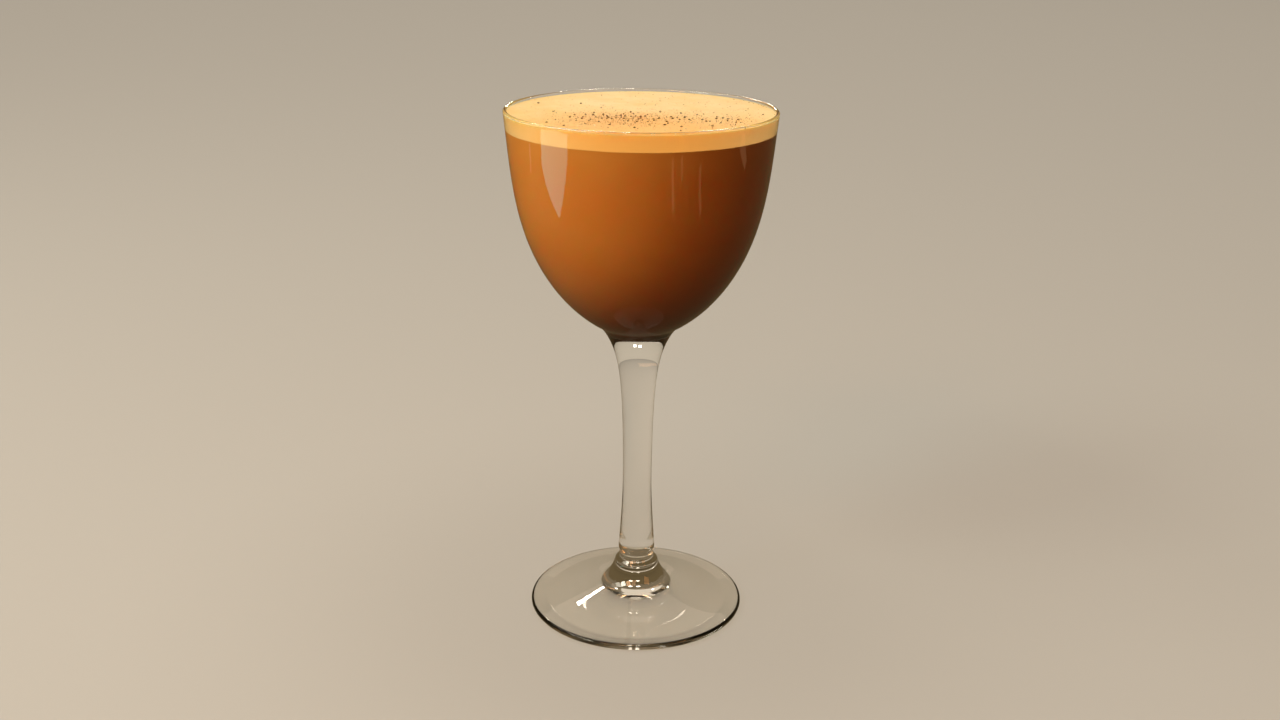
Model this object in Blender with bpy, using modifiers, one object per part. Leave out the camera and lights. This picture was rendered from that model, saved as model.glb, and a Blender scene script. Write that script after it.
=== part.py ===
"""Irish coffee in a small stemmed cocktail glass.

The glass is one solid: an egg-shaped bowl on a drawn stem, with a knuckle where the
stem was pressed to its round foot. It holds milky coffee under a layer of pale foam
that comes to just below the rim, and the foam is dusted with ground spice.

Units are metres and +Z is up. The origin is the middle of the foot, at table height.
Every profile point is a radius and a height in the XZ plane, to be turned about Z.
"""

import math
import random
from typing import NamedTuple

import bmesh
import bpy
from mathutils import Euler, Vector, noise

MM = 0.001


def place(radius, height):
    """A profile point, from a radius and a height in millimetres."""
    return Vector((radius, 0, height)) * MM


# The bowl's inside is one curve, from the middle of the floor up to the rim
BOWL = (place(0, 86.5), place(16, 86.5), place(34.3, 107.6), place(33.8, 124.3), place(36.68, 149.5))
WALL_AT_RIM = 1.1 * MM
WALL_AT_FLOOR = 1.7 * MM
SHOULDER_STARTS_AT = 0.18
INSIDE_FACES = 13
OUTSIDE_FACES = 11
LIP_FACES = 4


class Curve(NamedTuple):
    """A stretch of outline: its end, a radius and a height, and its handles, all in mm."""

    end: tuple
    leaving: tuple
    arriving: tuple
    faces: int


# The outline below the bowl, from the top down
SHOULDER = Curve(end=(8.3, 83.5), leaving=(-1.9, -1.1), arriving=(1.1, 2.2), faces=4)
STEM = Curve(end=(4.25, 40), leaving=(-2.7, -5.9), arriving=(0, 31), faces=7)
STEM_ROOT = Curve(end=(5.35, 18.6), leaving=(0, -7), arriving=(-0.3, 4), faces=4)
KNUCKLE = Curve(end=(5.05, 16.3), leaving=(0.1, -1.2), arriving=(0, 0.7), faces=3)
RIDGE = Curve(end=(6.35, 14), leaving=(0, -0.8), arriving=(-0.5, 0.5), faces=3)
COLLAR = Curve(end=(10.8, 7.05), leaving=(0.5, -2.6), arriving=(-1.9, 0.85), faces=5)
FOOT = Curve(end=(31.1, 2), leaving=(4.7, -1.5), arriving=(-7, 1), faces=3)
FOOT_BROW = Curve(end=(31.85, 1.05), leaving=(0.5, -0.07), arriving=(0, 0.5), faces=2)
FOOT_EDGE = Curve(end=(30.6, 0), leaving=(0, -0.6), arriving=(0.6, 0), faces=2)
FOOT_RING = Curve(end=(26.4, 0), leaving=(0, 0), arriving=(0, 0), faces=1)
FOOT_HOLLOW = Curve(end=(0, 2.4), leaving=(-3, 0.35), arriving=(12, 0), faces=4)
BELOW_BOWL = (
    SHOULDER,
    STEM,
    STEM_ROOT,
    KNUCKLE,
    RIDGE,
    COLLAR,
    FOOT,
    FOOT_BROW,
    FOOT_EDGE,
    FOOT_RING,
    FOOT_HOLLOW,
)

# What the glass holds. Solids that would touch keep the clearance between them.
CLEARANCE = 0.3 * MM
COFFEE_LEVEL = 145 * MM
FOAM_LEVEL = 149.1 * MM
FOAM_CLIMB = 0.15 * MM
FOAM_CLIMB_FROM = 1.2 * MM
FOAM_FLAT_TO = 3 * MM
FOAM_FLAT_FACES = 6
FOAM_EDGE_ROUND = 0.5 * MM
FOAM_SWELL = 0.12 * MM
FOAM_SWELL_SPAN = 11 * MM
FOAM_SWELL_FADE = 8 * MM

# Ground spice, scattered in drifts over the side of the foam nearest the viewer
SPICE_SEED = 7
SPICE_GRAINS = 92
SPICE_SIZE = (0.4 * MM, 0.72 * MM)
SPICE_NARROWS = (0.6, 0.9)
SPICE_FLATNESS = 0.7
SPICE_STANDS = 0.08
SPICE_SPACING = 1.1 * MM
SPICE_REACH = 34 * MM


class Drift(NamedTuple):
    """A drift of spice: its share of the grains, and its centre and spread in mm."""

    share: float
    centre: tuple
    spread: tuple


# The few grains that are in none of these lie anywhere on the foam
SPICE_DRIFTS = (
    Drift(share=0.74, centre=(-5.5, -12), spread=(8.5, 6.5)),
    Drift(share=0.08, centre=(13.5, -9), spread=(3, 4.5)),
    Drift(share=0.1, centre=(22.5, -14), spread=(3.5, 5)),
)

TURNS = 56
MERGE = 0.01 * MM


def steps(first, last, count):
    """Evenly spaced values from first to last, both of them included."""
    return [first + (last - first) * n / count for n in range(count + 1)]


def on_curve(handles, t):
    """The point at t, from 0 to 1, on a smooth curve with any number of handles."""
    last = len(handles) - 1
    point = Vector((0, 0, 0))
    for n, handle in enumerate(handles):
        point += handle * (math.comb(last, n) * t**n * (1 - t) ** (last - n))
    return point


def along_curve(handles, t):
    """The curve's direction at t."""
    moves = [after - before for before, after in zip(handles, handles[1:])]
    return on_curve(moves, t).normalized()


def curve_points(start, curve):
    """The points of a stretch of outline, without its start."""
    end = place(*curve.end)
    handles = (start, start + place(*curve.leaving), end + place(*curve.arriving), end)
    return [on_curve(handles, t) for t in steps(0, 1, curve.faces)[1:]]


def bowl_wall(t, depth):
    """A point a distance into the wall from the bowl's inside, or off it if negative."""
    direction = along_curve(BOWL, t)
    return on_curve(BOWL, t) + Vector((direction.z, 0, -direction.x)) * depth


def bowl_outside(t):
    return bowl_wall(t, WALL_AT_FLOOR + (WALL_AT_RIM - WALL_AT_FLOOR) * t)


def bowl_share_at(height):
    """How far along the bowl's curve it reaches a height, found by halving."""
    low, high = 0.0, 1.0
    for _ in range(40):
        middle = (low + high) / 2
        if on_curve(BOWL, middle).z < height:
            low = middle
        else:
            high = middle
    return low


def lip():
    """The fire-polished lip: a half round over the top of the wall, inside to outside."""
    inner, outer = bowl_wall(1, 0), bowl_outside(1)
    centre, across = (inner + outer) / 2, (inner - outer) / 2
    over = Vector((across.z, 0, -across.x))
    angles = steps(0, math.pi, LIP_FACES)[1:-1]
    return [centre + across * math.cos(angle) + over * math.sin(angle) for angle in angles]


def glass_outline():
    """Up the inside of the bowl, over the lip, down the outside and in under the foot."""
    points = [bowl_wall(t, 0) for t in steps(0, 1, INSIDE_FACES)]
    points += lip()
    points += [bowl_outside(t) for t in steps(1, SHOULDER_STARTS_AT, OUTSIDE_FACES)]
    for curve in BELOW_BOWL:
        points += curve_points(points[-1], curve)
    return points


def coffee_outline():
    """Out across the top of the coffee, then down beside the bowl's faces to the axis."""
    top = COFFEE_LEVEL - CLEARANCE / 2
    brim = bowl_wall(bowl_share_at(top), -CLEARANCE).x
    below = [bowl_wall(t, -CLEARANCE) for t in steps(1, 0, INSIDE_FACES)[1:]]
    return [Vector((0, 0, top)), Vector((brim, 0, top))] + below


def foam_outline():
    """Out across the top of the foam, which climbs a little at the glass, and back."""
    bottom = COFFEE_LEVEL + CLEARANCE / 2
    brim = FOAM_LEVEL + FOAM_CLIMB
    edge = bowl_wall(bowl_share_at(brim), -CLEARANCE).x
    foot = bowl_wall(bowl_share_at(bottom), -CLEARANCE).x
    flat = [Vector((r, 0, FOAM_LEVEL)) for r in steps(0, edge - FOAM_FLAT_TO, FOAM_FLAT_FACES)]
    climb = [
        Vector((edge - FOAM_CLIMB_FROM, 0, (FOAM_LEVEL + brim) / 2)),
        Vector((edge - FOAM_EDGE_ROUND, 0, brim)),
        Vector((edge, 0, brim - FOAM_EDGE_ROUND)),
    ]
    return flat + climb + [Vector((foot, 0, bottom)), Vector((0, 0, bottom))]


def new_collection(name):
    collection = bpy.data.collections.new(name)
    bpy.context.scene.collection.children.link(collection)
    return collection


def turned(name, outline, material, collection):
    """A solid of revolution: a profile of edges with a Screw modifier about Z."""
    mesh = bpy.data.meshes.new(name)
    edges = [(n, n + 1) for n in range(len(outline) - 1)]
    mesh.from_pydata(outline, edges, [])
    mesh.materials.append(material)
    piece = bpy.data.objects.new(name, mesh)
    collection.objects.link(piece)
    screw = piece.modifiers.new("Turn", "SCREW")
    screw.axis = "Z"
    screw.steps = TURNS
    screw.render_steps = TURNS
    screw.use_merge_vertices = True
    screw.merge_threshold = MERGE
    screw.use_smooth_shade = True
    return piece


def apply_modifiers(piece):
    """Puts the evaluated mesh in place of the mesh and its modifiers."""
    bpy.context.view_layer.update()
    evaluated = piece.evaluated_get(bpy.context.evaluated_depsgraph_get())
    mesh = bpy.data.meshes.new_from_object(evaluated)
    piece.modifiers.clear()
    old = piece.data
    piece.data = mesh
    bpy.data.meshes.remove(old)
    mesh.name = piece.name


def swell_at(x, y):
    """How far the foam's surface stands above its level: a low, uneven swell."""
    inside = max(0.0, SPICE_REACH - math.hypot(x, y))
    spot = Vector((x, y, 0)) / FOAM_SWELL_SPAN
    return FOAM_SWELL * noise.noise(spot) * min(1.0, inside / FOAM_SWELL_FADE)


def swell_surface(foam):
    for vertex in foam.data.vertices:
        if vertex.co.z >= FOAM_LEVEL - MERGE:
            vertex.co.z += swell_at(vertex.co.x, vertex.co.y)


def spice_spot(chance):
    """Where one grain falls: in one of the drifts, or now and then anywhere."""
    draw = chance.random()
    for drift in SPICE_DRIFTS:
        if draw < drift.share:
            spread = Vector((chance.gauss(0, 1), chance.gauss(0, 1)))
            return (Vector(drift.centre) + spread * Vector(drift.spread)) * MM
        draw -= drift.share
    turn = chance.uniform(0, 2 * math.pi)
    out = SPICE_REACH * math.sqrt(chance.random())
    return Vector((out * math.cos(turn), out * math.sin(turn)))


def spice_spots(chance):
    """Where the grains lie, none of them near another or too near the glass."""
    spots = []
    while len(spots) < SPICE_GRAINS:
        spot = spice_spot(chance)
        clear = all((spot - other).length > SPICE_SPACING for other in spots)
        if clear and spot.length < SPICE_REACH:
            spots.append(spot)
    return spots


def spice_grain(number, spot, chance, material, collection):
    """A crumb of spice, an uneven low ball sunk to about half its height."""
    mesh = bpy.data.meshes.new(f"grain_{number}")
    body = bmesh.new()
    bmesh.ops.create_icosphere(body, subdivisions=1, radius=0.5)
    body.to_mesh(mesh)
    body.free()
    mesh.materials.append(material)
    grain = bpy.data.objects.new(mesh.name, mesh)
    size = chance.uniform(*SPICE_SIZE)
    grain.scale = (size, size * chance.uniform(*SPICE_NARROWS), size * SPICE_FLATNESS)
    grain.rotation_euler = Euler((0, 0, chance.uniform(0, 2 * math.pi)))
    height = FOAM_LEVEL + swell_at(*spot) + size * SPICE_STANDS
    grain.location = (spot.x, spot.y, height)
    collection.objects.link(grain)


def dust_with_spice(foam, material):
    """Fuses the grains to the foam with one Boolean union on their collection."""
    chance = random.Random(SPICE_SEED)
    grains = new_collection("spice")
    for number, spot in enumerate(spice_spots(chance)):
        spice_grain(number, spot, chance, material, grains)
    union = foam.modifiers.new("Spice", "BOOLEAN")
    union.operation = "UNION"
    union.solver = "EXACT"
    union.operand_type = "COLLECTION"
    union.collection = grains
    apply_modifiers(foam)
    for grain in list(grains.objects):
        mesh = grain.data
        bpy.data.objects.remove(grain)
        bpy.data.meshes.remove(mesh)
    bpy.data.collections.remove(grains)


def principled(name, colour, roughness, transmission=0.0, ior=1.45):
    material = bpy.data.materials.new(name)
    material.use_nodes = True
    material.diffuse_color = (*colour, 1)
    shader = material.node_tree.nodes["Principled BSDF"]
    shader.inputs["Base Color"].default_value = (*colour, 1)
    shader.inputs["Roughness"].default_value = roughness
    shader.inputs["Metallic"].default_value = 0
    shader.inputs["Transmission Weight"].default_value = transmission
    shader.inputs["IOR"].default_value = ior
    return material


def main():
    for thing in list(bpy.data.objects):
        bpy.data.objects.remove(thing)
    drink = new_collection("irish_coffee")
    clear_glass = principled("clear_glass", (0.93, 0.94, 0.92), 0.02, 1.0, 1.52)
    coffee_brown = principled("milky_coffee", (0.42, 0.17, 0.05), 0.3)
    foam_cream = principled("cream_foam", (0.87, 0.66, 0.37), 0.6)
    spice_brown = principled("ground_spice", (0.16, 0.07, 0.02), 0.8)

    turned("glass", glass_outline(), clear_glass, drink)
    turned("coffee", coffee_outline(), coffee_brown, drink)
    foam = turned("cream_foam", foam_outline(), foam_cream, drink)
    apply_modifiers(foam)
    swell_surface(foam)
    dust_with_spice(foam, spice_brown)


main()
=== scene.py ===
"""Looks for the irish coffee: its blown glass, milky coffee, foam, spice, light and camera.

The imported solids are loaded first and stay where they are. Each is replaced by a finer
piece turned from the same outline, in metres, in the same frame: +Z up, the origin in the
middle of the foot, and -Y towards the viewer.
"""

import math
import random
from typing import NamedTuple

import bmesh
import bpy
from bpy.props import FloatProperty, FloatVectorProperty, IntProperty, PointerProperty
from mathutils import Euler, Matrix, Vector, noise


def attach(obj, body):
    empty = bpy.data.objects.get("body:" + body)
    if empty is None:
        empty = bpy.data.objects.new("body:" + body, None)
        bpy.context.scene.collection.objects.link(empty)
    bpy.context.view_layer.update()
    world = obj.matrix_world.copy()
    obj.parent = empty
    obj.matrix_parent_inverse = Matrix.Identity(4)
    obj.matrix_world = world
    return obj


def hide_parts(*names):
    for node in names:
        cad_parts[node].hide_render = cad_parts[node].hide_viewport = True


bl_info = {
    "name": "Irish Coffee",
    "version": (1, 0, 0),
    "blender": (4, 5, 0),
    "location": "3D View > Sidebar > Irish Coffee",
    "description": "Builds a small stemmed glass of irish coffee with foam and spice",
    "category": "Add Mesh",
}

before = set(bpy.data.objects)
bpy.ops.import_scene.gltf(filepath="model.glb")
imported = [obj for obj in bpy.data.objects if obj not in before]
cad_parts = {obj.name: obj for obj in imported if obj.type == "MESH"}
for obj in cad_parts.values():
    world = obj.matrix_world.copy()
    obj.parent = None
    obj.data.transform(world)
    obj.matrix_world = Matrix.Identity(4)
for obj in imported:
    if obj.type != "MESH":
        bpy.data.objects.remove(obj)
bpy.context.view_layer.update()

MM = 0.001
BODY = "root"


def linear(hex_colour):
    """The linear red, green and blue of an sRGB hex colour."""
    shares = [int(hex_colour[n : n + 2], 16) / 255 for n in (1, 3, 5)]
    return tuple(s / 12.92 if s <= 0.04045 else ((s + 0.055) / 1.055) ** 2.4 for s in shares)


def place(radius, height):
    """A profile point, from a radius and a height in millimetres."""
    return Vector((radius, 0, height)) * MM


class Curve(NamedTuple):
    """A stretch of outline: its end, a radius and a height, and its handles, all in mm."""

    end: tuple
    leaving: tuple
    arriving: tuple
    faces: int


# The bowl's inside is one curve, from the middle of the floor up to the rim
BOWL = (place(0, 86.5), place(16, 86.5), place(34.3, 107.6), place(33.8, 124.3), place(36.68, 149.5))
# Along it the outside runs down to here, then goes over into the stem
SHOULDER_STARTS_AT = 0.18
INSIDE_FACES = 72
OUTSIDE_FACES = 64
LIP_FACES = 12

# The outline below the bowl, from the top down
BELOW_BOWL = (
    Curve(end=(8.3, 83.5), leaving=(-1.9, -1.1), arriving=(1.1, 2.2), faces=14),
    Curve(end=(4.25, 40), leaving=(-2.7, -5.9), arriving=(0, 31), faces=30),
    Curve(end=(5.35, 18.6), leaving=(0, -7), arriving=(-0.3, 4), faces=14),
    Curve(end=(5.05, 16.3), leaving=(0.1, -1.2), arriving=(0, 0.7), faces=9),
    Curve(end=(6.35, 14), leaving=(0, -0.8), arriving=(-0.5, 0.5), faces=9),
    Curve(end=(10.8, 7.05), leaving=(0.5, -2.6), arriving=(-1.9, 0.85), faces=18),
    Curve(end=(31.1, 2), leaving=(4.7, -1.5), arriving=(-7, 1), faces=20),
    Curve(end=(31.85, 1.05), leaving=(0.5, -0.07), arriving=(0, 0.5), faces=7),
    Curve(end=(30.6, 0), leaving=(0, -0.6), arriving=(0.6, 0), faces=7),
    Curve(end=(26.4, 0), leaving=(0, 0), arriving=(0, 0), faces=4),
    Curve(end=(0, 2.4), leaving=(-3, 0.35), arriving=(12, 0), faces=20),
)

# Heights of what the glass holds
COFFEE_LEVEL = 145 * MM
FOAM_LEVEL = 149.1 * MM

# Where the layers meet: at the glass the foam laps over the coffee, and hidden behind that
# edge the foam's body goes on down and the coffee's up, so that no gap shows
LAYERS_OVERLAP = 0.1 * MM
FOAM_OVER_COFFEE = 0.03 * MM
BEHIND_EDGE = 0.7 * MM
FOAM_DIPS = 10 * MM
FOAM_DIP_FACES = 4
COFFEE_RISES = 3 * MM
COFFEE_RISE_FACES = 3

# The foam's low, uneven swell, which fades out towards the glass, and its finer relief
FOAM_SWELL = 0.12 * MM
FOAM_SWELL_SPAN = 11 * MM
FOAM_SWELL_FADE = 8 * MM
FOAM_REACH = 34 * MM
FOAM_RELIEF_SPAN = 1.9 * MM
FOAM_EDGE_WAVE_SPAN = 5 * MM

# The foam's outline: its side in the wall, where it climbs the glass, and its flat top
FOAM_SIDE_FACES = 8
FOAM_CLIMB_SPAN = 0.8 * MM
FOAM_CLIMB_FROM = 0.15 * MM
FOAM_CLIMB_TO = 3 * MM
FOAM_CLIMB_FACES = 10
FOAM_FLAT_FROM = 3.4 * MM
FOAM_FLAT_FACES = 68

# Bubbles: few are large, and those along the glass keep to within a few of their sizes of it
BUBBLE_SMALLEST = 0.22 * MM
BUBBLE_GROWS = 0.5 * MM
BUBBLE_FLATNESS = 0.5
BUBBLE_OFF_GLASS = (0.3, 1.6)

# Ground spice: first the grains that the solid has, then finer ones and dust by the same rule
SPICE_SEED = 7
SPICE_GRAINS = 92
SPICE_SIZE = (0.4 * MM, 0.72 * MM)
SPICE_NARROWS = (0.6, 0.9)
SPICE_SPACING = 1.1 * MM
FINE_SIZE = (0.16 * MM, 0.34 * MM)
FINE_NARROWS = (0.5, 0.95)
FINE_SPACING = 0.35 * MM
DUST_SIZE = (0.09 * MM, 0.2 * MM)
DUST_NARROWS = (0.5, 1)
DUST_SPREADS = 1.25

# Every grain is a low crumb: how flat it is, how far it stands up and how uneven it is
GRAIN_FLATNESS = 0.7
GRAIN_STANDS = 0.08
GRAIN_UNEVENNESS = 0.35
GRAIN_UNEVEN_SPAN = 0.3 * MM


class Drift(NamedTuple):
    """A drift of spice: its share of the grains, and its centre and spread in mm."""

    share: float
    centre: tuple
    spread: tuple


# The few grains that are in none of these lie anywhere on the foam
SPICE_DRIFTS = (
    Drift(share=0.74, centre=(-5.5, -12), spread=(8.5, 6.5)),
    Drift(share=0.08, centre=(13.5, -9), spread=(3, 4.5)),
    Drift(share=0.1, centre=(22.5, -14), spread=(3.5, 5)),
)

# The stage. A lamp's azimuth is in degrees from the viewer's side, + to the drink's right.
BOWL_MIDDLE = Vector((0, 0, 125 * MM))
FLOOR_BELOW_FOOT = 0.05 * MM
FLOOR_EDGES = 96
FLOOR_LIGHT_ANGLE = math.radians(80)
OVERHEAD_SIZE = 3
OVERHEAD_PLACE = (-0.6, 1.5, 2.2)
CAMERA_ASIDE = 0.44 * MM
CAMERA_SENSOR_MM = 36
CAMERA_SEES_FROM = 10 * MM
# The stage is dimmed where it is mirrored, but by this much less if glass lies before it too
SEEN_THROUGH = 0.15


class Lamp(NamedTuple):
    """A soft square lamp: its place in degrees and metres, size, share of power and colour."""

    azimuth: float
    elevation: float
    distance: float
    size: float
    share: float
    colour: str


class Panel(NamedTuple):
    """A lit panel, level and just over the floor: its corners in mm, light and colour."""

    corners: tuple
    light: float
    colour: str


# The arc is warmer in front than at the left, so that the drink deepens to red-brown
KEY_ARC = (
    Lamp(azimuth=-10, elevation=36, distance=1.1, size=0.3, share=0.07, colour="#FFBE8C"),
    Lamp(azimuth=-34, elevation=36, distance=1.1, size=0.3, share=0.22, colour="#FFC28C"),
    Lamp(azimuth=-58, elevation=36, distance=1.1, size=0.3, share=0.39, colour="#FFFAE8"),
    Lamp(azimuth=-80, elevation=36, distance=1.1, size=0.3, share=0.15, colour="#FFF9E8"),
    Lamp(azimuth=-100, elevation=36, distance=1.1, size=0.3, share=0.03, colour="#FFF9E8"),
)
# The bowl mirrors only what lies low: the first panel is its bright wedge at the left
PANEL_HEIGHT = 4 * MM
PANELS = {
    "wedge": Panel(
        corners=((-238, -56), (-400, -237), (-560, -170), (-560, -30), (-418, 4)),
        light=2.3,
        colour="#A0FFF0",
    ),
    "edge_left": Panel(
        corners=((-400, 115), (-400, 126), (-470, 128), (-470, 117)), light=0.9, colour="#FFF0D8"
    ),
    "strip_near": Panel(
        corners=((115, -222), (160, -341), (172, -341), (125, -222)), light=1.2, colour="#FFC890"
    ),
    "strip_mid": Panel(
        corners=((188, -283), (206, -323), (218, -323), (198, -283)), light=1.0, colour="#FFC890"
    ),
    "strip_far": Panel(
        corners=((196, -147), (281, -248), (299, -248), (208, -147)), light=0.9, colour="#FFC890"
    ),
    "edge_right": Panel(
        corners=((416, 57), (452, -12), (490, 8), (446, 68)), light=0.8, colour="#FFC890"
    ),
}
BACK_ROW = (
    Lamp(azimuth=150, elevation=36, distance=1.3, size=0.06, share=0.2, colour="#FFF1DE"),
    Lamp(azimuth=175, elevation=15, distance=1.3, size=0.07, share=0.3, colour="#FFF1DE"),
    Lamp(azimuth=-178, elevation=14, distance=1.3, size=0.07, share=0.3, colour="#FFF1DE"),
    Lamp(azimuth=-156, elevation=36, distance=1.3, size=0.06, share=0.2, colour="#FFF1DE"),
)
FILL = Lamp(azimuth=48, elevation=28, distance=1.2, size=0.4, share=1, colour="#FFA860")
# Level light on the foam alone, as the real foam carries light from its top to its side
FOAM_ROW = (
    Lamp(azimuth=-26, elevation=2, distance=1.2, size=0.4, share=0.38, colour="#CCF4FF"),
    Lamp(azimuth=72, elevation=2, distance=1.2, size=0.4, share=0.75, colour="#FFF8F0"),
)
# A little light from low at the left, as a table gives back, on the bottom of the bowl
BOUNCE = Lamp(azimuth=-38, elevation=-14, distance=0.4, size=0.1, share=1, colour="#FFAE74")

# How finely curves are turned and found
TURNS = 256
MERGE = 0.01 * MM
SHARP_OVER = math.radians(50)
HALVINGS = 40


def steps(first, last, count):
    """Evenly spaced values from first to last, both of them included."""
    return [first + (last - first) * n / count for n in range(count + 1)]


def on_curve(handles, t):
    """The point at t, from 0 to 1, on a smooth curve with any number of handles."""
    last = len(handles) - 1
    point = Vector((0, 0, 0))
    for n, handle in enumerate(handles):
        point += handle * (math.comb(last, n) * t**n * (1 - t) ** (last - n))
    return point


def along_curve(handles, t):
    """The curve's direction at t."""
    moves = [after - before for before, after in zip(handles, handles[1:])]
    return on_curve(moves, t).normalized()


def curve_points(start, curve):
    """The points of a stretch of outline, without its start."""
    end = place(*curve.end)
    handles = (start, start + place(*curve.leaving), end + place(*curve.arriving), end)
    return [on_curve(handles, t) for t in steps(0, 1, curve.faces)[1:]]


def bowl_wall(t, depth):
    """A point a distance into the wall from the bowl's inside, or off it if negative."""
    direction = along_curve(BOWL, t)
    return on_curve(BOWL, t) + Vector((direction.z, 0, -direction.x)) * depth


def bowl_outside(t, glass):
    """A point on the bowl's outside, where the wall thickens towards the floor."""
    depth = glass.wall_at_floor + (glass.wall_at_rim - glass.wall_at_floor) * t
    return bowl_wall(t, depth)


def bowl_share_at(height):
    """How far along the bowl's curve it reaches a height, found by halving."""
    low, high = 0.0, 1.0
    for _ in range(HALVINGS):
        middle = (low + high) / 2
        if on_curve(BOWL, middle).z < height:
            low = middle
        else:
            high = middle
    return low


def turned(name, outline):
    """A solid of revolution about Z, with its Screw modifier applied."""
    mesh = bpy.data.meshes.new(name)
    mesh.from_pydata(outline, [(n, n + 1) for n in range(len(outline) - 1)], [])
    piece = bpy.data.objects.new(name, mesh)
    bpy.context.scene.collection.objects.link(piece)
    screw = piece.modifiers.new("Turn", "SCREW")
    screw.axis = "Z"
    screw.steps = TURNS
    screw.render_steps = TURNS
    screw.use_merge_vertices = True
    screw.merge_threshold = MERGE
    screw.use_smooth_shade = True
    bpy.context.view_layer.update()
    evaluated = piece.evaluated_get(bpy.context.evaluated_depsgraph_get())
    piece.data = bpy.data.meshes.new_from_object(evaluated)
    piece.modifiers.clear()
    bpy.data.meshes.remove(mesh)
    piece.data.name = name
    piece.data.set_sharp_from_angle(angle=SHARP_OVER)
    return piece


def mesh_piece(name, body):
    """An object from a bmesh, shaded smooth, which is then freed."""
    mesh = bpy.data.meshes.new(name)
    body.to_mesh(mesh)
    body.free()
    mesh.shade_smooth()
    piece = bpy.data.objects.new(name, mesh)
    bpy.context.scene.collection.objects.link(piece)
    return piece


def named_collection(name):
    """The collection of this name, made if need be, which lamps take as what they light."""
    return bpy.data.collections.get(name) or bpy.data.collections.new(name)


def finish_piece(piece, material, replaced=None):
    """Gives a piece its material, its body and the node that it stands for."""
    piece.data.materials.clear()
    piece.data.materials.append(material)
    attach(piece, BODY)
    if replaced:
        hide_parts(replaced)


# In a Mix node these are the colour inputs and the colour output
MIX_A = 6
MIX_B = 7
MIX_RESULT = 2


def add_node(tree, kind, settings=None, links=None):
    """Adds a node. Settings name its attributes or its sockets, and links feed sockets."""
    node = tree.nodes.new(kind)
    for name, value in (settings or {}).items():
        if isinstance(name, str) and hasattr(node, name):
            setattr(node, name, value)
        else:
            node.inputs[name].default_value = value
    for name, source in (links or {}).items():
        tree.links.new(source, node.inputs[name])
    return node


def new_material(name):
    """An empty material, its node tree and its output node."""
    material = bpy.data.materials.new(name)
    material.use_nodes = True
    tree = material.node_tree
    tree.nodes.clear()
    return material, tree, tree.nodes.new("ShaderNodeOutputMaterial")


def per_mm(span_mm):
    """The scale that gives a pattern this span: texture coordinates are in metres."""
    return 1 / (span_mm * MM)


class GlassSettings(bpy.types.PropertyGroup):
    """Sizes and colours of the blown glass"""

    wall_at_rim: FloatProperty(
        name="Wall at rim",
        description="Thickness of the bowl's wall under the lip",
        default=1.1 * MM,
        min=0.5 * MM,
        unit="LENGTH",
    )
    wall_at_floor: FloatProperty(
        name="Wall at floor",
        description="Thickness of the glass under the middle of the bowl",
        default=1.7 * MM,
        min=0.5 * MM,
        unit="LENGTH",
    )
    tint: FloatVectorProperty(
        name="Tint",
        description="What the glass lets through at each surface",
        subtype="COLOR",
        default=linear("#FEFDFA"),
    )
    shadow_middle: FloatVectorProperty(
        name="Shadow middle",
        description="Light let through where the glass is met square on",
        subtype="COLOR",
        default=linear("#FFFEFB"),
    )
    shadow_edge: FloatVectorProperty(
        name="Shadow edge",
        description="Light let through where the glass is met at a slant",
        subtype="COLOR",
        default=linear("#D3D0CA"),
    )


class CoffeeSettings(bpy.types.PropertyGroup):
    """Sizes and colours of the milky coffee"""

    into_wall: FloatProperty(
        name="Into the wall",
        description="How far the drink reaches into the glass, so that no air gap shows",
        default=0.12 * MM,
        min=0,
        unit="LENGTH",
    )
    lit: FloatVectorProperty(
        name="Coffee",
        description="The milky coffee's main colour",
        subtype="COLOR",
        default=linear("#E6963C"),
    )
    cloud: FloatVectorProperty(
        name="Cloud",
        description="The coffee's colour where a little more milk hangs in it",
        subtype="COLOR",
        default=linear("#EAA048"),
    )
    # Painted shade: a duller coffee colour that stands in for the shade low in the bowl
    bottom_shade: FloatVectorProperty(
        name="Bottom",
        description="The duller coffee at the bottom of the bowl",
        subtype="COLOR",
        default=linear("#DE9056"),
    )


class FoamSettings(bpy.types.PropertyGroup):
    """Sizes and colours of the foam"""

    climb: FloatProperty(
        name="Climb",
        description="How far the foam stands higher where it meets the glass",
        default=0.15 * MM,
        min=0,
        unit="LENGTH",
    )
    relief: FloatProperty(
        name="Relief",
        description="Height of the fine unevenness of the foam's top",
        default=0.035 * MM,
        min=0,
        unit="LENGTH",
    )
    edge_wave: FloatProperty(
        name="Edge wave",
        description="How far the line between foam and coffee wanders up and down",
        default=0.12 * MM,
        min=0,
        unit="LENGTH",
    )
    bubbles: IntProperty(
        name="Bubbles",
        description="Number of small bubbles that stand on the foam",
        default=260,
        min=0,
    )
    bubble_seed: IntProperty(
        name="Bubble seed",
        description="Changes where the bubbles lie",
        default=11,
    )
    cream: FloatVectorProperty(
        name="Cream",
        description="The foam's main colour",
        subtype="COLOR",
        default=linear("#F9C66E"),
    )
    pale: FloatVectorProperty(
        name="Pale",
        description="The foam's colour where its bubbles are finest",
        subtype="COLOR",
        default=linear("#FFE2A4"),
    )
    # Painted shade: a darker orange foam colour for the side near the viewer and the lower part of
    # the layer
    near_shade: FloatVectorProperty(
        name="Tanned",
        description="The foam's colour near the viewer, where fine powder lies on it",
        subtype="COLOR",
        default=linear("#F8B95E"),
    )
    stained: FloatVectorProperty(
        name="Stained",
        description="The foam's colour under the drift of spice",
        subtype="COLOR",
        default=linear("#E9AA4C"),
    )


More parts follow.
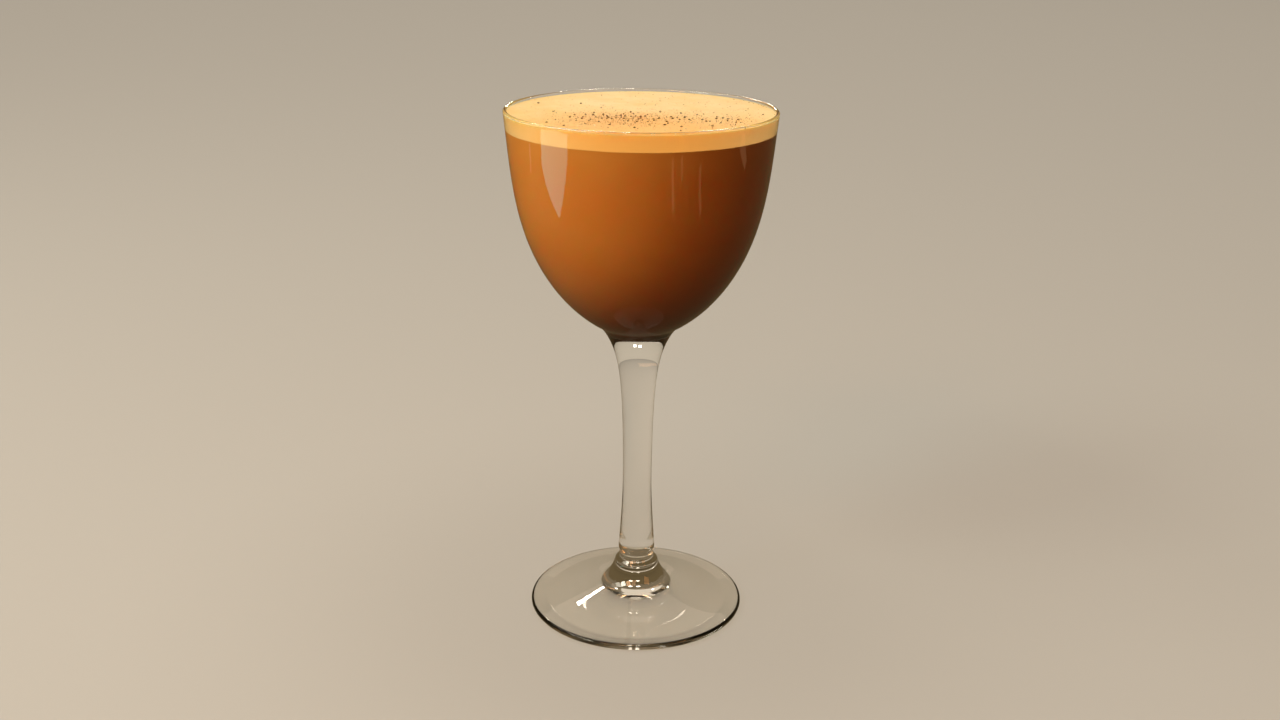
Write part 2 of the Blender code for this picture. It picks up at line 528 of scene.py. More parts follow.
class SpiceSettings(bpy.types.PropertyGroup):
    """Sizes and colours of the ground spice"""

    fine_grains: IntProperty(
        name="Fine grains",
        description="Number of smaller dark grains beside the large ones",
        default=330,
        min=0,
    )
    dust_grains: IntProperty(
        name="Dust grains",
        description="Number of the finest grains",
        default=1800,
        min=0,
    )
    dark: FloatVectorProperty(
        name="Dark grain",
        description="The darkest grains of the spice",
        subtype="COLOR",
        default=linear("#4A2A0E"),
    )
    brown: FloatVectorProperty(
        name="Brown grain",
        description="The lightest of the larger grains",
        subtype="COLOR",
        default=linear("#966024"),
    )
    dust: FloatVectorProperty(
        name="Dust",
        description="The spice's finest dust",
        subtype="COLOR",
        default=linear("#AE6C22"),
    )


class StageSettings(bpy.types.PropertyGroup):
    """The floor, the lamps and the camera"""

    floor_reach: FloatProperty(
        name="Floor reach",
        description="Radius of the floor",
        default=12,
        min=1,
        unit="LENGTH",
    )
    floor_colour: FloatVectorProperty(
        name="Floor",
        description="The pale floor's colour",
        subtype="COLOR",
        default=linear("#93928F"),
    )
    lamp_colour: FloatVectorProperty(
        name="Lamp colour",
        description="The slightly warm light on the floor and from overhead",
        subtype="COLOR",
        default=linear("#FFF1DE"),
    )
    key_power: FloatProperty(
        name="Key power",
        description="Power of the arc of lamps at the upper left",
        default=15,
        min=0,
        unit="POWER",
    )
    back_power: FloatProperty(
        name="Back power",
        description="Power of the small lamps behind, which light the edges of the glass",
        default=3,
        min=0,
        unit="POWER",
    )
    fill_power: FloatProperty(
        name="Fill power",
        description="Power of the weak warm lamp at the right",
        default=1.4,
        min=0,
        unit="POWER",
    )
    bounce_power: FloatProperty(
        name="Bounce power",
        description="Power of the light that the table gives back from the left",
        default=0.13,
        min=0,
        unit="POWER",
    )
    foam_power: FloatProperty(
        name="Foam power",
        description="Power of the level lamps that only light the foam",
        default=11,
        min=0,
        unit="POWER",
    )
    overhead_power: FloatProperty(
        name="Overhead power",
        description="Power of the large soft lamp over the floor",
        default=16,
        min=0,
        unit="POWER",
    )
    panel_light: FloatProperty(
        name="Panel light",
        description="Strength of the low panels that the bowl mirrors",
        default=1,
        min=0,
    )
    floor_light: FloatProperty(
        name="Floor light",
        description="Strength of the even light that falls on the floor alone",
        default=3.8,
        min=0,
    )
    room: FloatVectorProperty(
        name="Room",
        description="The pale room behind and through the glass",
        subtype="COLOR",
        default=linear("#C8BBA7"),
    )
    mirrored_room: FloatVectorProperty(
        name="Mirrored room",
        description="The dimmer room that the glass mirrors",
        subtype="COLOR",
        default=linear("#645439"),
    )
    camera_distance: FloatProperty(
        name="Camera distance",
        description="How far in front of the stem the camera stands",
        default=394.1 * MM,
        min=50 * MM,
        unit="LENGTH",
    )
    camera_height: FloatProperty(
        name="Camera height",
        description="Height of the camera over the table",
        default=213.4 * MM,
        min=10 * MM,
        unit="LENGTH",
    )
    camera_pitch: FloatProperty(
        name="Camera pitch",
        description="How far the camera looks down",
        default=math.radians(19.05),
        subtype="ANGLE",
        unit="ROTATION",
    )
    camera_roll: FloatProperty(
        name="Camera roll",
        description="How far the camera leans",
        default=math.radians(0.667),
        subtype="ANGLE",
        unit="ROTATION",
    )
    camera_lens: FloatProperty(
        name="Lens",
        description="Focal length in millimetres on a 36 mm sensor",
        default=40.476,
        min=10,
        unit="CAMERA",
    )


class DrinkSettings(bpy.types.PropertyGroup):
    """All settings of the drink and its stage"""

    glass: PointerProperty(type=GlassSettings)
    coffee: PointerProperty(type=CoffeeSettings)
    foam: PointerProperty(type=FoamSettings)
    spice: PointerProperty(type=SpiceSettings)
    stage: PointerProperty(type=StageSettings)


def soda_lime_glass_fire_polished(glass):
    """Soda-lime glass, blown and fire polished: clear, with faint soft waves in its gloss."""
    material, tree, output = new_material("soda_lime_glass_fire_polished")
    spot = add_node(tree, "ShaderNodeTexCoord")
    # A blown wall is uneven over a centimetre or so, which bends what is mirrored in it
    waves = add_node(
        tree,
        "ShaderNodeTexNoise",
        {"Scale": per_mm(16), "Detail": 1.0, "Roughness": 0.4},
        {"Vector": spot.outputs["Object"]},
    )
    bump = add_node(
        tree,
        "ShaderNodeBump",
        {"Strength": 0.06, "Distance": 0.25 * MM},
        {"Height": waves.outputs["Fac"]},
    )
    clear = add_node(
        tree,
        "ShaderNodeBsdfPrincipled",
        {"Base Color": (*glass.tint, 1), "Roughness": 0.0, "IOR": 1.52, "Transmission Weight": 1.0},
        {"Normal": bump.outputs["Normal"]},
    )
    # Light that only passes through is let through straight, and less of it at a slant
    slant = add_node(tree, "ShaderNodeLayerWeight", {"Blend": 0.25})
    shade = add_node(
        tree,
        "ShaderNodeMix",
        {"data_type": "RGBA", MIX_A: (*glass.shadow_middle, 1), MIX_B: (*glass.shadow_edge, 1)},
        {0: slant.outputs["Facing"]},
    )
    passing = add_node(tree, "ShaderNodeBsdfTransparent", {}, {"Color": shade.outputs[MIX_RESULT]})
    ray = add_node(tree, "ShaderNodeLightPath")
    soft_ray = add_node(
        tree,
        "ShaderNodeMath",
        {"operation": "MAXIMUM"},
        {0: ray.outputs["Is Shadow Ray"], 1: ray.outputs["Is Diffuse Ray"]},
    )
    both = add_node(
        tree,
        "ShaderNodeMixShader",
        {},
        {0: soft_ray.outputs[0], 1: clear.outputs["BSDF"], 2: passing.outputs["BSDF"]},
    )
    tree.links.new(both.outputs[0], output.inputs["Surface"])
    return material


def coffee_with_milk_still(coffee, foam):
    """Coffee stirred with milk and left to stand: smooth and even, with a soft depth."""
    material, tree, output = new_material("coffee_with_milk_still")
    spot = add_node(tree, "ShaderNodeTexCoord")
    height = add_node(tree, "ShaderNodeSeparateXYZ", {}, {0: spot.outputs["Object"]})
    # Milk hangs in faint clouds some 14 mm across, flattened by settling
    squeezed = add_node(
        tree, "ShaderNodeMapping", {"Scale": (1, 1, 1.8)}, {"Vector": spot.outputs["Object"]}
    )
    clouds = add_node(
        tree,
        "ShaderNodeTexNoise",
        {"Scale": per_mm(14), "Detail": 2.0, "Roughness": 0.45},
        {"Vector": squeezed.outputs[0]},
    )
    cloudy = add_node(
        tree,
        "ShaderNodeMix",
        {"data_type": "RGBA", MIX_A: (*coffee.lit, 1), MIX_B: (*coffee.cloud, 1)},
        {0: clouds.outputs["Fac"]},
    )
    # From 24 mm under the foam down to the floor of the bowl, the coffee gets duller: painted shade
    # for the low part of the bowl
    down = add_node(
        tree,
        "ShaderNodeMapRange",
        {"interpolation_type": "SMOOTHSTEP", "From Min": 121 * MM, "From Max": 87 * MM},
        {"Value": height.outputs["Z"]},
    )
    body = add_node(
        tree,
        "ShaderNodeMix",
        {"data_type": "RGBA", MIX_B: (*coffee.bottom_shade, 1)},
        {0: down.outputs[0], MIX_A: cloudy.outputs[MIX_RESULT]},
    )
    # Foam drains into the coffee over less than a millimetre, in an uneven line
    line = add_node(
        tree,
        "ShaderNodeTexNoise",
        {"Scale": per_mm(2.5), "Detail": 3.0},
        {"Vector": spot.outputs["Object"]},
    )
    lifted = add_node(
        tree,
        "ShaderNodeMath",
        {"operation": "MULTIPLY_ADD", 1: 0.5 * MM},
        {0: line.outputs["Fac"], 2: height.outputs["Z"]},
    )
    drains = add_node(
        tree,
        "ShaderNodeMapRange",
        {
            "interpolation_type": "SMOOTHSTEP",
            "From Min": COFFEE_LEVEL - 0.6 * MM,
            "From Max": COFFEE_LEVEL + 0.5 * MM,
            "To Max": 0.8,
        },
        {"Value": lifted.outputs[0]},
    )
    colour = add_node(
        tree,
        "ShaderNodeMix",
        {"data_type": "RGBA", MIX_B: (*foam.stained, 1)},
        {0: drains.outputs[0], MIX_A: body.outputs[MIX_RESULT]},
    )
    # Light wanders a few millimetres in the drink, but none is lost where the foam starts
    wanders = add_node(
        tree,
        "ShaderNodeMapRange",
        {
            "interpolation_type": "SMOOTHSTEP",
            "From Min": COFFEE_LEVEL - 0.5 * MM,
            "From Max": COFFEE_LEVEL - 10 * MM,
        },
        {"Value": height.outputs["Z"]},
    )
    drink = add_node(
        tree,
        "ShaderNodeBsdfPrincipled",
        {
            "Roughness": 0.3,
            "IOR": 1.34,
            "Specular IOR Level": 0.08,
            "Subsurface Radius": (1.0, 0.3, 0.12),
            "Subsurface Scale": 9 * MM,
        },
        {"Base Color": colour.outputs[MIX_RESULT], "Subsurface Weight": wanders.outputs[0]},
    )
    tree.links.new(drink.outputs["BSDF"], output.inputs["Surface"])
    return material


def cream_foam_shaken(foam):
    """Foam shaken from coffee and cream: matt, fine bubbled, stained where spice lies on it, with
    painted shade near the viewer and low in the layer.
    """
    material, tree, output = new_material("cream_foam_shaken")
    spot = add_node(tree, "ShaderNodeTexCoord")
    patches = add_node(
        tree,
        "ShaderNodeTexNoise",
        {"Scale": per_mm(9), "Detail": 4.0, "Roughness": 0.6},
        {"Vector": spot.outputs["Object"]},
    )
    cream = add_node(
        tree,
        "ShaderNodeMix",
        {"data_type": "RGBA", MIX_A: (*foam.cream, 1), MIX_B: (*foam.pale, 1)},
        {0: patches.outputs["Fac"]},
    )
    # Painted shade: the side near the viewer and the lower part of the layer are turned a darker
    # orange
    near = add_node(
        tree,
        "ShaderNodeMapping",
        {
            "vector_type": "TEXTURE",
            "Location": (4 * MM, -30 * MM, FOAM_LEVEL - 3 * MM),
            "Scale": (60 * MM, 40 * MM, 30 * MM),
        },
        {"Vector": spot.outputs["Object"]},
    )
    near_by = add_node(tree, "ShaderNodeVectorMath", {"operation": "LENGTH"}, {0: near.outputs[0]})
    film = add_node(
        tree,
        "ShaderNodeMapRange",
        {"interpolation_type": "SMOOTHSTEP", "From Min": 1.0, "From Max": 0.1},
        {"Value": near_by.outputs["Value"]},
    )
    near_shade = add_node(
        tree,
        "ShaderNodeMix",
        {"data_type": "RGBA", MIX_B: (*foam.near_shade, 1)},
        {0: film.outputs[0], MIX_A: cream.outputs[MIX_RESULT]},
    )
    # The stain follows the drift of spice, thick in its middle and mottled
    centred = add_node(
        tree,
        "ShaderNodeMapping",
        {
            "vector_type": "TEXTURE",
            "Location": (SPICE_DRIFTS[0].centre[0] * MM, SPICE_DRIFTS[0].centre[1] * MM, FOAM_LEVEL),
            "Scale": (24 * MM, 15 * MM, 4 * MM),
        },
        {"Vector": spot.outputs["Object"]},
    )
    away = add_node(
        tree, "ShaderNodeVectorMath", {"operation": "LENGTH"}, {0: centred.outputs[0]}
    )
    drift = add_node(
        tree,
        "ShaderNodeMapRange",
        {"interpolation_type": "SMOOTHSTEP", "From Min": 1.0, "From Max": 0.15},
        {"Value": away.outputs["Value"]},
    )
    # Spice powder finer than the render shows is drawn as mottling 1.1 mm across
    powder = add_node(
        tree,
        "ShaderNodeTexNoise",
        {"Scale": per_mm(1.1), "Detail": 3.0, "Roughness": 0.65},
        {"Vector": spot.outputs["Object"]},
    )
    mottled = add_node(
        tree,
        "ShaderNodeMapRange",
        {"From Min": 0.35, "From Max": 0.68},
        {"Value": powder.outputs["Fac"]},
    )
    stain = add_node(
        tree,
        "ShaderNodeMath",
        {"operation": "MULTIPLY"},
        {0: drift.outputs[0], 1: mottled.outputs[0]},
    )
    colour = add_node(
        tree,
        "ShaderNodeMix",
        {"data_type": "RGBA", MIX_B: (*foam.stained, 1)},
        {0: stain.outputs[0], MIX_A: near_shade.outputs[MIX_RESULT]},
    )
    # Bubbles of 0.1 mm are drawn 0.5 mm across, as coarse as they need to show
    bubbles = add_node(
        tree,
        "ShaderNodeTexVoronoi",
        {"Scale": per_mm(0.5), "feature": "SMOOTH_F1", "Smoothness": 0.6},
        {"Vector": spot.outputs["Object"]},
    )
    bump = add_node(
        tree,
        "ShaderNodeBump",
        {"Strength": 0.35, "Distance": 0.05 * MM},
        {"Height": bubbles.outputs["Distance"]},
    )
    # The layer's side is lit evenly down to the coffee, so light only wanders under its top
    height = add_node(tree, "ShaderNodeSeparateXYZ", {}, {0: spot.outputs["Object"]})
    wanders = add_node(
        tree,
        "ShaderNodeMapRange",
        {
            "interpolation_type": "SMOOTHSTEP",
            "From Min": COFFEE_LEVEL + 1.5 * MM,
            "From Max": FOAM_LEVEL - 0.3 * MM,
        },
        {"Value": height.outputs["Z"]},
    )
    top = add_node(
        tree,
        "ShaderNodeBsdfPrincipled",
        {
            "Roughness": 0.5,
            "IOR": 1.3,
            "Specular IOR Level": 0.08,
            "Subsurface Radius": (1.0, 0.95, 0.85),
            "Subsurface Scale": 1.5 * MM,
        },
        {
            "Base Color": colour.outputs[MIX_RESULT],
            "Subsurface Weight": wanders.outputs[0],
            "Normal": bump.outputs["Normal"],
        },
    )
    tree.links.new(top.outputs["BSDF"], output.inputs["Surface"])
    return material


def foam_bubble_film(foam):
    """Bubbles of wet foam: a smooth skin, glossier than the foam that they stand on."""
    material, tree, output = new_material("foam_bubble_film")
    film = add_node(
        tree,
        "ShaderNodeBsdfPrincipled",
        {
            "Base Color": (*foam.pale, 1),
            "Roughness": 0.12,
            "IOR": 1.34,
            "Subsurface Weight": 0.3,
            "Subsurface Radius": (1.0, 0.7, 0.4),
            "Subsurface Scale": 1 * MM,
        },
    )
    tree.links.new(film.outputs["BSDF"], output.inputs["Surface"])
    return material


def ground_bark(name, darkest, lightest, roughness):
    """Spice bark ground to grains: dry and matt, every grain of its own brown."""
    material, tree, output = new_material(name)
    island = add_node(tree, "ShaderNodeNewGeometry")
    colour = add_node(
        tree,
        "ShaderNodeMix",
        {"data_type": "RGBA", MIX_A: (*darkest, 1), MIX_B: (*lightest, 1)},
        {0: island.outputs["Random Per Island"]},
    )
    bark = add_node(
        tree,
        "ShaderNodeBsdfPrincipled",
        {"Roughness": roughness, "IOR": 1.45, "Specular IOR Level": 0.15},
        {"Base Color": colour.outputs[MIX_RESULT]},
    )
    tree.links.new(bark.outputs["BSDF"], output.inputs["Surface"])
    return material


def mirrored_share(tree):
    """How far the stage is seen mirrored: 1 straight in a gloss, and less through glass too."""
    ray = add_node(tree, "ShaderNodeLightPath")
    through = add_node(
        tree,
        "ShaderNodeMath",
        {"operation": "MULTIPLY", 1: -SEEN_THROUGH},
        {0: ray.outputs["Is Transmission Ray"]},
    )
    share = add_node(
        tree,
        "ShaderNodeMath",
        {"operation": "ADD", "use_clamp": True},
        {0: ray.outputs["Glossy Depth"], 1: through.outputs[0]},
    )
    return share.outputs[0]


def painted_board_matt(stage):
    """A painted board, matt and pale, with no pattern."""
    material, tree, output = new_material("painted_board_matt")
    paint = add_node(
        tree,
        "ShaderNodeBsdfPrincipled",
        {"Base Color": (*stage.floor_colour, 1), "Roughness": 0.9, "Specular IOR Level": 0.2},
    )
    # In the glass's gloss the floor is as dim as the room, so the drink's colour stays deep
    dim = add_node(tree, "ShaderNodeEmission", {"Color": (*stage.mirrored_room, 1)})
    seen = add_node(
        tree,
        "ShaderNodeMixShader",
        {},
        {0: mirrored_share(tree), 1: paint.outputs["BSDF"], 2: dim.outputs[0]},
    )
    tree.links.new(seen.outputs[0], output.inputs["Surface"])
    return material


def lit_panel(name, panel, stage):
    """Light from the upper side of a panel alone."""
    material, tree, output = new_material(f"lit_panel_{name}")
    strength = panel.light * stage.panel_light
    side = add_node(tree, "ShaderNodeNewGeometry")
    upper = add_node(
        tree,
        "ShaderNodeMath",
        {"operation": "MULTIPLY_ADD", 1: -strength, 2: strength},
        {0: side.outputs["Backfacing"]},
    )
    light = add_node(
        tree,
        "ShaderNodeEmission",
        {"Color": (*linear(panel.colour), 1)},
        {"Strength": upper.outputs[0]},
    )
    tree.links.new(light.outputs[0], output.inputs["Surface"])
    return material


def lip(glass):
    """The fire-polished lip: a half round over the top of the wall, inside to outside."""
    inner, outer = bowl_wall(1, 0), bowl_outside(1, glass)
    centre, across = (inner + outer) / 2, (inner - outer) / 2
    over = Vector((across.z, 0, -across.x))
    angles = steps(0, math.pi, LIP_FACES)[1:-1]
    return [centre + across * math.cos(angle) + over * math.sin(angle) for angle in angles]


def glass_outline(glass):
    """Up the inside of the bowl, over the lip, down the outside and in under the foot."""
    points = [bowl_wall(t, 0) for t in steps(0, 1, INSIDE_FACES)]
    points += lip(glass)
    points += [bowl_outside(t, glass) for t in steps(1, SHOULDER_STARTS_AT, OUTSIDE_FACES)]
    for curve in BELOW_BOWL:
        points += curve_points(points[-1], curve)
    return points


def coffee_outline(depth):
    """Out across the top of the coffee, then down in the wall of the bowl to the axis."""
    top = bowl_share_at(COFFEE_LEVEL)
    side = [bowl_wall(t, depth) for t in steps(top, 0, INSIDE_FACES)]
    # Its body goes on into the foam, behind the foam's edge, as the two run into each other
    count = COFFEE_RISE_FACES
    rises = [behind_edge(COFFEE_LEVEL + COFFEE_RISES * n / count) for n in range(count, -1, -1)]
    return [Vector((0, 0, rises[0].z))] + rises + side


def behind_edge(height):
    """A point just inside the bowl's wall, hidden behind the edge of a layer."""
    return bowl_wall(bowl_share_at(height), -BEHIND_EDGE)


def foam_height(x, y, relief):
    """How far the foam's top stands above its level: a low swell and a fine relief."""
    inside = max(0.0, FOAM_REACH - math.hypot(x, y))
    spot = Vector((x, y, 0))
    swell = FOAM_SWELL * noise.noise(spot / FOAM_SWELL_SPAN) * min(1.0, inside / FOAM_SWELL_FADE)
    return swell + relief * noise.noise(spot / FOAM_RELIEF_SPAN)


def foam_outline(foam, depth):
    """Up in the wall from the coffee, over the climbing edge and in across the top."""
    bottom = COFFEE_LEVEL - LAYERS_OVERLAP
    brim = FOAM_LEVEL + foam.climb
    low, high = bowl_share_at(bottom), bowl_share_at(brim)
    wall = [bowl_wall(t, depth) for t in steps(low, high, FOAM_SIDE_FACES)]
    edge = wall[-1].x
    climbing = [
        Vector((edge - out, 0, FOAM_LEVEL + foam.climb * math.exp(-out / FOAM_CLIMB_SPAN)))
        for out in steps(FOAM_CLIMB_FROM, FOAM_CLIMB_TO, FOAM_CLIMB_FACES)
    ]
    flat = [Vector((r, 0, FOAM_LEVEL)) for r in steps(edge - FOAM_FLAT_FROM, 0, FOAM_FLAT_FACES)]
    # Foam thins out downwards, so its body goes on behind the coffee's edge
    depths = [FOAM_DIPS * n / FOAM_DIP_FACES for n in range(FOAM_DIP_FACES + 1)]
    dips = [behind_edge(bottom - down) for down in depths]
    under = [Vector((0, 0, dips[-1].z))] + list(reversed(dips))
    return list(reversed(under + wall + climbing + flat))


def uneven_foam(piece, foam):
    """Gives the foam's top its swell and relief, and its lower edge a slight wave."""
    for vertex in piece.data.vertices:
        x, y, z = vertex.co
        if z > FOAM_LEVEL - MERGE:
            vertex.co.z += foam_height(x, y, foam.relief)
        elif COFFEE_LEVEL - 2 * LAYERS_OVERLAP < z < COFFEE_LEVEL:
            wave = noise.noise(vertex.co / FOAM_EDGE_WAVE_SPAN)
            vertex.co.z += foam.edge_wave * (wave - 1) / 2


def far_enough(spot, others, spacing):
    """Whether a spot keeps its distance from all the others."""
    return all((spot - other).length > spacing for other in others)


def spice_spot(chance, wider=1.0):
    """Where one grain falls: in one of the drifts, or now and then anywhere."""
    draw = chance.random()
    for drift in SPICE_DRIFTS:
        if draw < drift.share:
            spread = Vector((chance.gauss(0, wider), chance.gauss(0, wider)))
            return (Vector(drift.centre) + spread * Vector(drift.spread)) * MM
        draw -= drift.share
    turn = chance.uniform(0, 2 * math.pi)
    out = FOAM_REACH * math.sqrt(chance.random())
    return Vector((out * math.cos(turn), out * math.sin(turn)))


def spice_spots(count, spacing, chance):
    """Spots for this many grains, none too near another or past the foam."""
    spots = []
    while len(spots) < count:
        spot = spice_spot(chance)
        if far_enough(spot, spots, spacing) and spot.length < FOAM_REACH:
            spots.append(spot)
    return spots


def add_grain(body, spot, size, narrow, turn, roundness, relief):
    """A crumb: an uneven low ball, sunk to about half its height in the foam."""
    height = FOAM_LEVEL + foam_height(*spot, relief) + size * GRAIN_STANDS
    scale = Matrix.Diagonal((size, size * narrow, size * GRAIN_FLATNESS, 1))
    matrix = Matrix.Translation((*spot, height)) @ Euler((0, 0, turn)).to_matrix().to_4x4() @ scale
    made = bmesh.ops.create_icosphere(body, subdivisions=roundness, radius=0.5, matrix=matrix)
    middle = matrix.translation
    for vertex in made["verts"]:
        away = vertex.co - middle
        uneven = GRAIN_UNEVENNESS * noise.noise(vertex.co / GRAIN_UNEVEN_SPAN)
        vertex.co = middle + away * (1 + uneven)


class DRINK_OT_stage(bpy.types.Operator):
    """Makes the pale floor, the soft lamps and the camera"""

    bl_idname = "drink.stage"
    bl_label = "Make the Stage"

    def execute(self, context):
        stage = context.scene.drink.stage
        self.lay_floor(stage)
        self.hang_lamps(stage)
        self.light_room(stage)
        self.set_camera(context, stage)
        context.scene.view_settings.view_transform = "Standard"
        return {"FINISHED"}

    def lay_floor(self, stage):
        body = bmesh.new()
        reach = stage.floor_reach
        bmesh.ops.create_circle(body, cap_ends=True, segments=FLOOR_EDGES, radius=reach)
        floor = mesh_piece("floor", body)
        floor.location.z = -FLOOR_BELOW_FOOT
        floor.data.materials.append(painted_board_matt(stage))
        # The floor doesn't light the drink, which keeps its dark side
        floor.visible_diffuse = False
        named_collection("floor_only").objects.link(floor)
        # This collection only leaves the floor out, so a lamp that takes it lights the rest
        unlit = named_collection("all_but_floor")
        unlit.objects.link(floor)
        unlit.collection_objects[0].light_linking.link_state = "EXCLUDE"
        sky = bpy.data.lights.new("floor_light", "SUN")
        sky.energy = stage.floor_light
        sky.angle = FLOOR_LIGHT_ANGLE
        sky.color = stage.lamp_colour
        above = bpy.data.objects.new("floor_light", sky)
        above.light_linking.receiver_collection = named_collection("floor_only")
        bpy.context.scene.collection.objects.link(above)

    def hang_lamps(self, stage):
        for number, lamp in enumerate(KEY_ARC):
            self.hang_lamp(f"key_{number}", lamp, stage.key_power)
        for number, lamp in enumerate(BACK_ROW):
            self.hang_lamp(f"back_{number}", lamp, stage.back_power, "all_but_floor")
        self.hang_lamp("fill", FILL, stage.fill_power, "all_but_floor")
        bounce = self.hang_lamp("bounce", BOUNCE, stage.bounce_power, "all_but_floor")
        bounce.visible_glossy = False
        bounce.visible_transmission = False
        for number, lamp in enumerate(FOAM_ROW):
            self.hang_lamp(f"foam_{number}", lamp, stage.foam_power, "foam_only")
        over = self.add_lamp("overhead", OVERHEAD_SIZE, stage.overhead_power, stage.lamp_colour)
        over.location = OVERHEAD_PLACE
        for name, panel in PANELS.items():
            self.lay_panel(name, panel, stage)

    def lay_panel(self, name, panel, stage):
        """Lays a lit panel where only the glass shows it, lit side up."""
        body = bmesh.new()
        corners = [body.verts.new((x * MM, y * MM, PANEL_HEIGHT)) for x, y in panel.corners]
        face = body.faces.new(corners)
        face.normal_update()
        if face.normal.z < 0:
            face.normal_flip()
        laid = mesh_piece(f"panel_{name}", body)
        laid.data.materials.append(lit_panel(name, panel, stage))
        laid.visible_camera = False
        laid.visible_shadow = False
        laid.visible_diffuse = False

    def add_lamp(self, name, size, power, colour):
        """A square lamp that the camera doesn't see, facing down."""
        light = bpy.data.lights.new(name, "AREA")
        light.shape = "SQUARE"
        light.size = size
        light.energy = power
        light.color = colour
        lamp = bpy.data.objects.new(name, light)
        lamp.visible_camera = False
        bpy.context.scene.collection.objects.link(lamp)
        return lamp

    def hang_lamp(self, name, lamp, power, lights=None):
        """Hangs a lamp that faces the bowl. It lights all, or one named collection alone."""
        hung = self.add_lamp(name, lamp.size, power * lamp.share, linear(lamp.colour))
        azimuth, elevation = math.radians(lamp.azimuth), math.radians(lamp.elevation)
        level = Vector((math.sin(azimuth), -math.cos(azimuth), 0)) * math.cos(elevation)
        away = (level + Vector((0, 0, math.sin(elevation)))) * lamp.distance
        hung.location = BOWL_MIDDLE + away
        hung.rotation_euler = away.to_track_quat("Z", "Y").to_euler()
        if lights:
            hung.light_linking.receiver_collection = named_collection(lights)
        return hung

    def light_room(self, stage):
        world = bpy.data.worlds.new("room")
        world.use_nodes = True
        tree = world.node_tree
        tree.nodes.clear()
        seen = add_node(
            tree,
            "ShaderNodeMix",
            {"data_type": "RGBA", MIX_A: (*stage.room, 1), MIX_B: (*stage.mirrored_room, 1)},
            {0: mirrored_share(tree)},
        )
        even = add_node(tree, "ShaderNodeBackground", {}, {"Color": seen.outputs[MIX_RESULT]})
        output = add_node(tree, "ShaderNodeOutputWorld")
        tree.links.new(even.outputs[0], output.inputs["Surface"])
        world.cycles_visibility.diffuse = False
        bpy.context.scene.world = world

    def set_camera(self, context, stage):
        camera = bpy.data.objects.new("camera", bpy.data.cameras.new("camera"))
        camera.data.lens = stage.camera_lens
        camera.data.sensor_width = CAMERA_SENSOR_MM
        camera.data.clip_start = CAMERA_SEES_FROM
        stand = Matrix.Translation((CAMERA_ASIDE, -stage.camera_distance, stage.camera_height))
        tilt = Matrix.Rotation(math.pi / 2 - stage.camera_pitch, 4, "X")
        roll = Matrix.Rotation(stage.camera_roll, 4, "Z")
        camera.matrix_world = stand @ tilt @ roll
        context.scene.collection.objects.link(camera)
        context.scene.camera = camera


class DRINK_OT_glass(bpy.types.Operator):
    """Turns the blown glass: bowl, stem, knuckle, collar and foot"""

    bl_idname = "drink.glass"
    bl_label = "Blow the Glass"

    def execute(self, context):
        glass = context.scene.drink.glass
        piece = turned("blown_glass", glass_outline(glass))
        finish_piece(piece, soda_lime_glass_fire_polished(glass), "glass")
        return {"FINISHED"}


class DRINK_OT_coffee(bpy.types.Operator):
    """Fills the bowl with milky coffee up to the foam"""

    bl_idname = "drink.coffee"
    bl_label = "Pour the Coffee"

    def execute(self, context):
        drink = context.scene.drink
        piece = turned("milky_coffee", coffee_outline(drink.coffee.into_wall))
        material = coffee_with_milk_still(drink.coffee, drink.foam)
        finish_piece(piece, material, "coffee")
        return {"FINISHED"}


class DRINK_OT_foam(bpy.types.Operator):
    """Lays the foam on the coffee, with the small bubbles that stand on it"""

    bl_idname = "drink.foam"
    bl_label = "Lay the Foam"

    def execute(self, context):
        drink = context.scene.drink
        depth = drink.coffee.into_wall + FOAM_OVER_COFFEE
        piece = turned("foam_head", foam_outline(drink.foam, depth))
        uneven_foam(piece, drink.foam)
        named_collection("foam_only").objects.link(piece)
        finish_piece(piece, cream_foam_shaken(drink.foam), "cream_foam")
        self.blow_bubbles(drink.foam)
        return {"FINISHED"}

    def blow_bubbles(self, foam):
        """Small low domes, a third of them along the glass."""
        chance = random.Random(foam.bubble_seed)
        brim = bowl_wall(bowl_share_at(FOAM_LEVEL), 0).x
        body = bmesh.new()
        for number in range(foam.bubbles):
            size = BUBBLE_SMALLEST + BUBBLE_GROWS * chance.random() ** 3
            turn = chance.uniform(0, 2 * math.pi)
            out = brim * math.sqrt(chance.random())
            if number % 3 == 0:
                out = brim - size * chance.uniform(*BUBBLE_OFF_GLASS)
            x, y = out * math.cos(turn), out * math.sin(turn)
            level = FOAM_LEVEL + foam_height(x, y, foam.relief)
            level += foam.climb * math.exp((out - brim) / FOAM_CLIMB_SPAN)
            scale = Matrix.Diagonal((size, size, size * BUBBLE_FLATNESS, 1))
            matrix = Matrix.Translation((x, y, level)) @ scale
            bmesh.ops.create_icosphere(body, subdivisions=2, radius=0.5, matrix=matrix)
        finish_piece(mesh_piece("foam_bubbles", body), foam_bubble_film(foam))


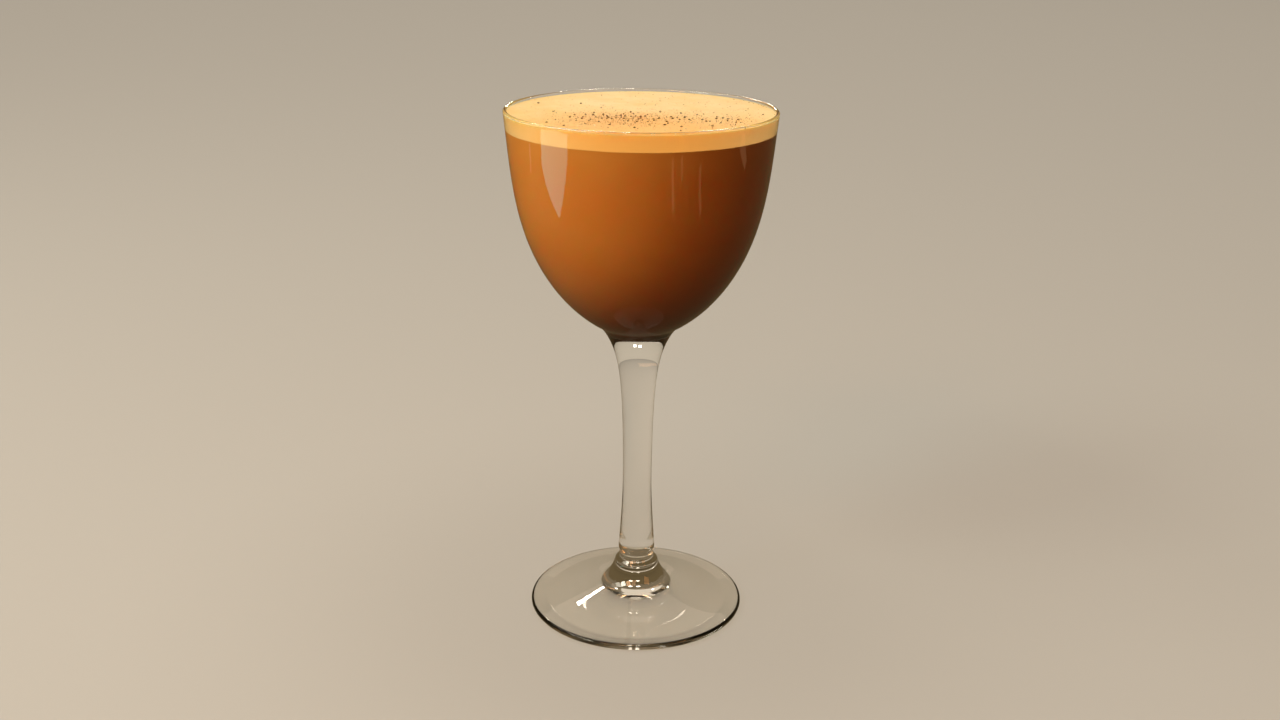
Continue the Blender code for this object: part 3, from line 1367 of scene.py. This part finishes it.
class DRINK_OT_spice(bpy.types.Operator):
    """Dusts the foam with ground spice, coarse and fine"""

    bl_idname = "drink.spice"
    bl_label = "Dust with Spice"

    def execute(self, context):
        drink = context.scene.drink
        self.strew_grains(drink)
        self.strew_dust(drink)
        return {"FINISHED"}

    def strew_grains(self, drink):
        relief = drink.foam.relief
        chance = random.Random(SPICE_SEED)
        body = bmesh.new()
        for spot in spice_spots(SPICE_GRAINS, SPICE_SPACING, chance):
            size = chance.uniform(*SPICE_SIZE)
            narrow = chance.uniform(*SPICE_NARROWS)
            add_grain(body, spot, size, narrow, chance.uniform(0, 2 * math.pi), 2, relief)
        for spot in spice_spots(drink.spice.fine_grains, FINE_SPACING, chance):
            size = chance.uniform(*FINE_SIZE)
            narrow = chance.uniform(*FINE_NARROWS)
            add_grain(body, spot, size, narrow, chance.uniform(0, 2 * math.pi), 1, relief)
        material = ground_bark("spice_bark_coarse", drink.spice.dark, drink.spice.brown, 0.8)
        finish_piece(mesh_piece("spice_grains", body), material)

    def strew_dust(self, drink):
        relief = drink.foam.relief
        chance = random.Random(SPICE_SEED + 1)
        body = bmesh.new()
        for _ in range(drink.spice.dust_grains):
            spot = spice_spot(chance, DUST_SPREADS)
            size = chance.uniform(*DUST_SIZE)
            if spot.length < FOAM_REACH:
                add_grain(body, spot, size, chance.uniform(*DUST_NARROWS), 0, 1, relief)
        material = ground_bark("spice_bark_fine", drink.spice.brown, drink.spice.dust, 0.9)
        finish_piece(mesh_piece("spice_dust", body), material)


class DRINK_PT_build(bpy.types.Panel):
    """Lists the drink's pieces with their settings"""

    bl_idname = "DRINK_PT_build"
    bl_label = "Irish Coffee"
    bl_space_type = "VIEW_3D"
    bl_region_type = "UI"
    bl_category = "Irish Coffee"

    def draw(self, context):
        for group, operator in zip(("stage", "glass", "coffee", "foam", "spice"), OPERATORS):
            box = self.layout.box()
            settings = getattr(context.scene.drink, group)
            for name in settings.__annotations__:
                box.prop(settings, name)
            box.operator(operator.bl_idname)


OPERATORS = (DRINK_OT_stage, DRINK_OT_glass, DRINK_OT_coffee, DRINK_OT_foam, DRINK_OT_spice)
SETTINGS = (GlassSettings, CoffeeSettings, FoamSettings, SpiceSettings, StageSettings, DrinkSettings)
CLASSES = (*SETTINGS, *OPERATORS, DRINK_PT_build)


def register():
    for kind in CLASSES:
        bpy.utils.register_class(kind)
    bpy.types.Scene.drink = PointerProperty(type=DrinkSettings)


def unregister():
    del bpy.types.Scene.drink
    for kind in reversed(CLASSES):
        bpy.utils.unregister_class(kind)


def main():
    register()
    bpy.ops.drink.stage()
    bpy.ops.drink.glass()
    bpy.ops.drink.coffee()
    bpy.ops.drink.foam()
    bpy.ops.drink.spice()


if __name__ == "__main__":
    main()
